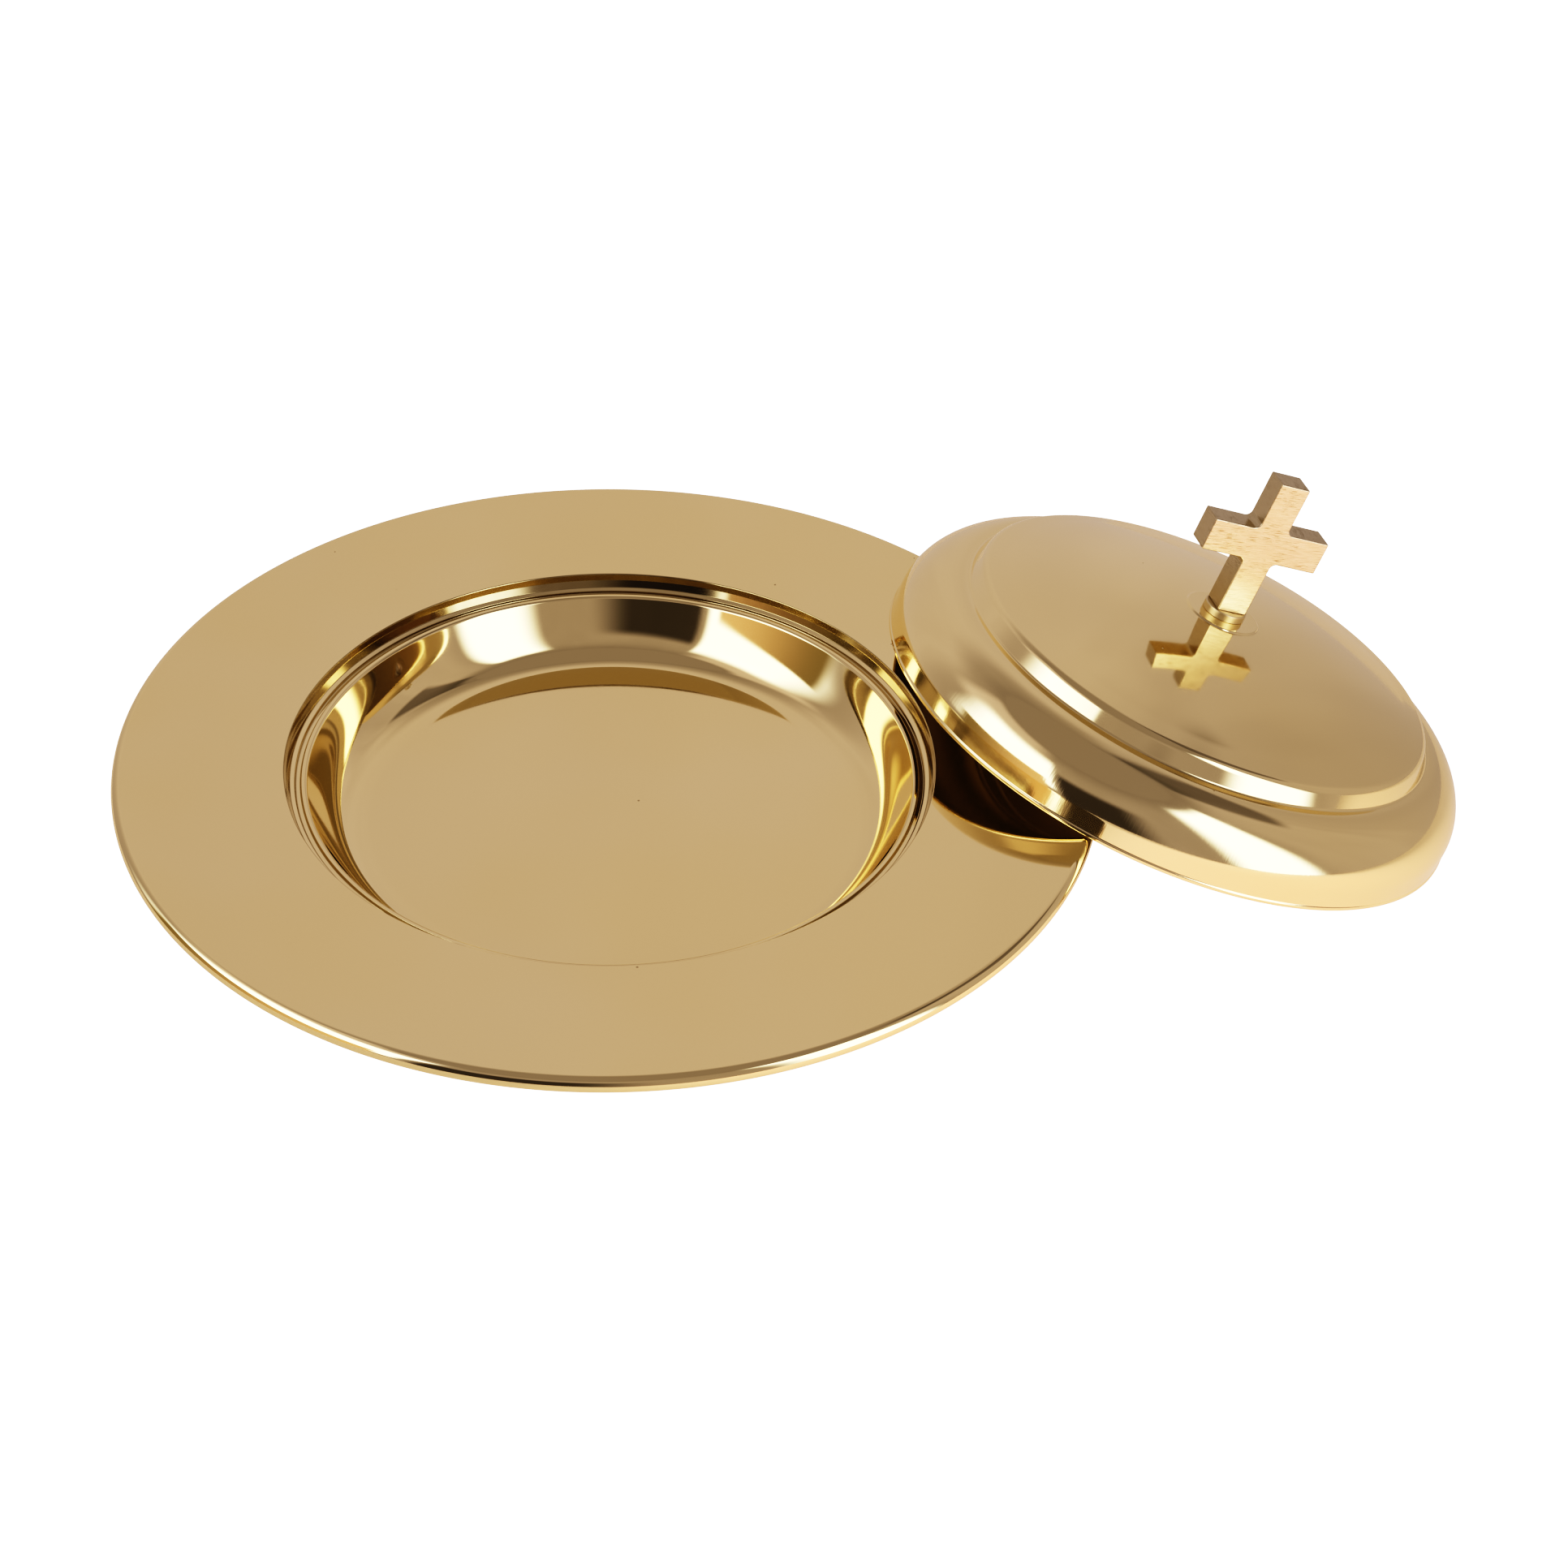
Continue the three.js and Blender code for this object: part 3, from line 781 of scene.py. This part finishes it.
def tent_material():
    mat = bpy.data.materials.new("tent_cloth")
    mat.use_nodes = True
    nt = mat.node_tree
    nt.nodes.clear()
    out = nt.nodes.new("ShaderNodeOutputMaterial")
    emi = nt.nodes.new("ShaderNodeEmission")
    tex = nt.nodes.new("ShaderNodeTexCoord")
    xyz = nt.nodes.new("ShaderNodeSeparateXYZ")
    nt.links.new(tex.outputs["Object"], xyz.inputs[0])
    az = math_node(nt, "MULTIPLY", math_node(nt, "ARCTAN2", xyz.outputs["X"], xyz.outputs["Y"]), 180 / math.pi)
    z = xyz.outputs["Z"]

    def patch(a0, half, left, right, low, high, elow, ehigh):
        d = math_node(nt, "WRAP", math_node(nt, "SUBTRACT", az, a0), 180.0, -180.0)
        side = soft_window(nt, d, -half, half, left, right)
        return math_node(nt, "MULTIPLY", side, soft_window(nt, z, low, high, elow, ehigh))

    def sum_of(shapes, start):
        total = None
        for *shape, strength in shapes:
            v = math_node(nt, "MULTIPLY", patch(*shape), strength)
            total = v if total is None else math_node(nt, "ADD", total, v)
        return math_node(nt, "ADD", total, start)

    keep = math_node(nt, "SUBTRACT", 1.0, math_node(nt, "MULTIPLY", patch(*DARK), 0.79))
    shade = math_node(nt, "SUBTRACT", 1.0, math_node(nt, "MULTIPLY", patch(*SHADE), 0.6))
    keep = math_node(nt, "MULTIPLY", keep, shade)
    cloth = nt.nodes.new("ShaderNodeEmission")
    both = nt.nodes.new("ShaderNodeAddShader")
    cloth.inputs["Color"].default_value = (*CLOTH, 1.0)
    wall_level = remap(nt, z, 0.5, TENT_TOP, WALL, WALL_TOP)
    sweep = nt.nodes.new("ShaderNodeMapping")
    sweep.inputs["Scale"].default_value = (1.0, 1.0, 0.35)
    sweep.inputs["Rotation"].default_value = (0.25, 0.15, 0.0)
    nt.links.new(tex.outputs["Object"], sweep.inputs["Vector"])
    fold = noise(nt, sweep.outputs[0], 7.0, 2.0, 0.5)
    deep = math_node(nt, "MULTIPLY", soft_window(nt, az, 14.0, 75.0, 20.0, 20.0), 0.07)
    deep = math_node(nt, "ADD", deep, 0.04)
    sway = math_node(nt, "SUBTRACT", remap(nt, fold, 0.35, 0.65, 0.0, 1.0), 0.6)
    keep = math_node(nt, "MULTIPLY", keep, math_node(nt, "MULTIPLY_ADD", deep, sway, 1.0))
    nt.links.new(math_node(nt, "MULTIPLY", sum_of(GLOWS, wall_level), keep), cloth.inputs["Strength"])
    nt.links.new(sum_of(LAMPS, 0.0), emi.inputs["Strength"])
    nt.links.new(cloth.outputs[0], both.inputs[0])
    nt.links.new(emi.outputs[0], both.inputs[1])
    # a warm brown card that stands low in front of the left lamp
    card = nt.nodes.new("ShaderNodeEmission")
    fade = remap(nt, az, CARD[0] - CARD[1], CARD[0] + CARD[1], 0.0, 1.0)
    nt.links.new(mix_colour(nt, fade, CARD_NEAR, CARD_FAR), card.inputs["Color"])
    over = nt.nodes.new("ShaderNodeMixShader")
    nt.links.new(patch(*CARD), over.inputs["Fac"])
    nt.links.new(both.outputs[0], over.inputs[1])
    nt.links.new(card.outputs[0], over.inputs[2])
    nt.links.new(over.outputs[0], out.inputs["Surface"])
    return mat


def stage_mesh(name, bm, material, at=(0, 0, 0)):
    mesh = bpy.data.meshes.new(name)
    bm.to_mesh(mesh)
    bm.free()
    mesh.materials.append(material)
    obj = bpy.data.objects.new(name, mesh)
    obj.location = at
    bpy.context.scene.collection.objects.link(obj)
    return obj


bm = bmesh.new()
wall = []
for k in range(96):
    a = 2 * math.pi * k / 96
    wall.append([bm.verts.new((TENT_R * math.sin(a), TENT_R * math.cos(a), h)) for h in (-0.001, TENT_TOP / 2, TENT_TOP)])
for k in range(96):
    q = wall[(k + 1) % 96]
    for i in range(2):
        bm.faces.new((wall[k][i], q[i], q[i + 1], wall[k][i + 1]))
tent = stage_mesh("tent_wall", bm, tent_material(), (TENT_C[0], TENT_C[1], 0.0))
only_seen_by(tent, glossy=True, diffuse=True)


WARM = (1.0, 0.58, 0.46)  # light that the gold cover throws on the table


def table_material(name, albedo, glow, tint=(1.0, 1.0, 1.0), pool=None):
    mat = bpy.data.materials.new(name)
    mat.use_nodes = True
    nt = mat.node_tree
    nt.nodes.clear()
    out = nt.nodes.new("ShaderNodeOutputMaterial")
    add = nt.nodes.new("ShaderNodeAddShader")
    dif = nt.nodes.new("ShaderNodeBsdfDiffuse")
    emi = nt.nodes.new("ShaderNodeEmission")
    tex = nt.nodes.new("ShaderNodeTexCoord")
    grain = noise(nt, tex.outputs["Object"], 40.0, 3.0, 0.5)
    low, high = tuple(albedo * 0.98 * c for c in tint), tuple(albedo * 1.02 * c for c in tint)
    nt.links.new(mix_colour(nt, grain, low, high), dif.inputs["Color"])
    emi.inputs["Color"].default_value = (*tint, 1)
    emi.inputs["Strength"].default_value = glow
    if pool is not None:
        x, y, inner, outer, strength = pool
        away = nt.nodes.new("ShaderNodeVectorMath")
        away.operation = "DISTANCE"
        nt.links.new(tex.outputs["Object"], away.inputs[0])
        away.inputs[1].default_value = (x, y, 0.0)
        near = remap(nt, away.outputs["Value"], inner, outer, 1.0, 0.0)
        nt.links.new(math_node(nt, "MULTIPLY_ADD", near, strength, glow), emi.inputs["Strength"])
        nt.links.new(mix_colour(nt, near, tint, WARM), emi.inputs["Color"])
    nt.links.new(dif.outputs[0], add.inputs[0])
    nt.links.new(emi.outputs[0], add.inputs[1])
    nt.links.new(add.outputs[0], out.inputs["Surface"])
    return mat


def flat_grid(size):
    grid = bmesh.new()
    bmesh.ops.create_grid(grid, x_segments=4, y_segments=4, size=size)
    return grid


floor = stage_mesh("floor", flat_grid(8.0), table_material("floor_white", 0.5, 1.05), (0, 0, -0.0002))
only_seen_by(floor, camera=True)
table = stage_mesh("table_top", flat_grid(8.0), table_material("table_pale", 0.52, 0.15, (1.0, 0.86, 0.76), (0.20, -0.20, 0.12, 0.30, 0.42)), (0, 0, -0.0004))
only_seen_by(table, glossy=True, diffuse=True, shadow=True)

bm = bmesh.new()
bmesh.ops.create_uvsphere(bm, u_segments=48, v_segments=24, radius=9.0)
backdrop_mat = table_material("backdrop_white", 0.0, 1.05)
backdrop = stage_mesh("backdrop", bm, backdrop_mat)
only_seen_by(backdrop, camera=True)

world = bpy.data.worlds.new("studio")
bpy.context.scene.world = world
world.use_nodes = True
world.node_tree.nodes["Background"].inputs["Color"].default_value = (*CLOTH, 1.0)
world.node_tree.nodes["Background"].inputs["Strength"].default_value = CEILING

# ----------------------------------------------------------------------- camera
cam_data = bpy.data.cameras.new("camera")
cam_data.sensor_fit = "HORIZONTAL"
cam_data.sensor_width = 36.0
cam_data.lens = 36.0 * 3000.0 / 1932.0
cam_data.clip_start = 0.01
cam_data.clip_end = 100.0
cam = bpy.data.objects.new("camera", cam_data)
bpy.context.scene.collection.objects.link(cam)
right = Vector((0.99882, 0.02956, 0.03846))
fwd = Vector((0.0, 0.79291, -0.60934)).normalized()
right = (right - fwd * right.dot(fwd)).normalized()
up = right.cross(fwd)
cam.matrix_world = Matrix(
    (
        (right.x, up.x, -fwd.x, -0.007425),
        (right.y, up.y, -fwd.y, -0.508103),
        (right.z, up.z, -fwd.z, 0.420372),
        (0, 0, 0, 1),
    )
)
bpy.context.scene.camera = cam

# ------------------------------------------------------------------ film response
view = bpy.context.scene.view_settings
view.view_transform = "Standard"
view.look = "None"
view.use_curve_mapping = True
film = view.curve_mapping
curve = film.curves[3]
HALF, WHITE = 0.25, 1.05
for x in (0.02, 0.05, 0.09, 0.14, 0.2, 0.27, 0.36, 0.48, 0.64, 0.82):
    curve.points.new(x, WHITE * x * x / (x * x + HALF * HALF))
curve.points[-1].location = (1.0, 1.0)
for p in curve.points:
    p.handle_type = "AUTO_CLAMPED"
film.update()

bpy.context.view_layer.update()
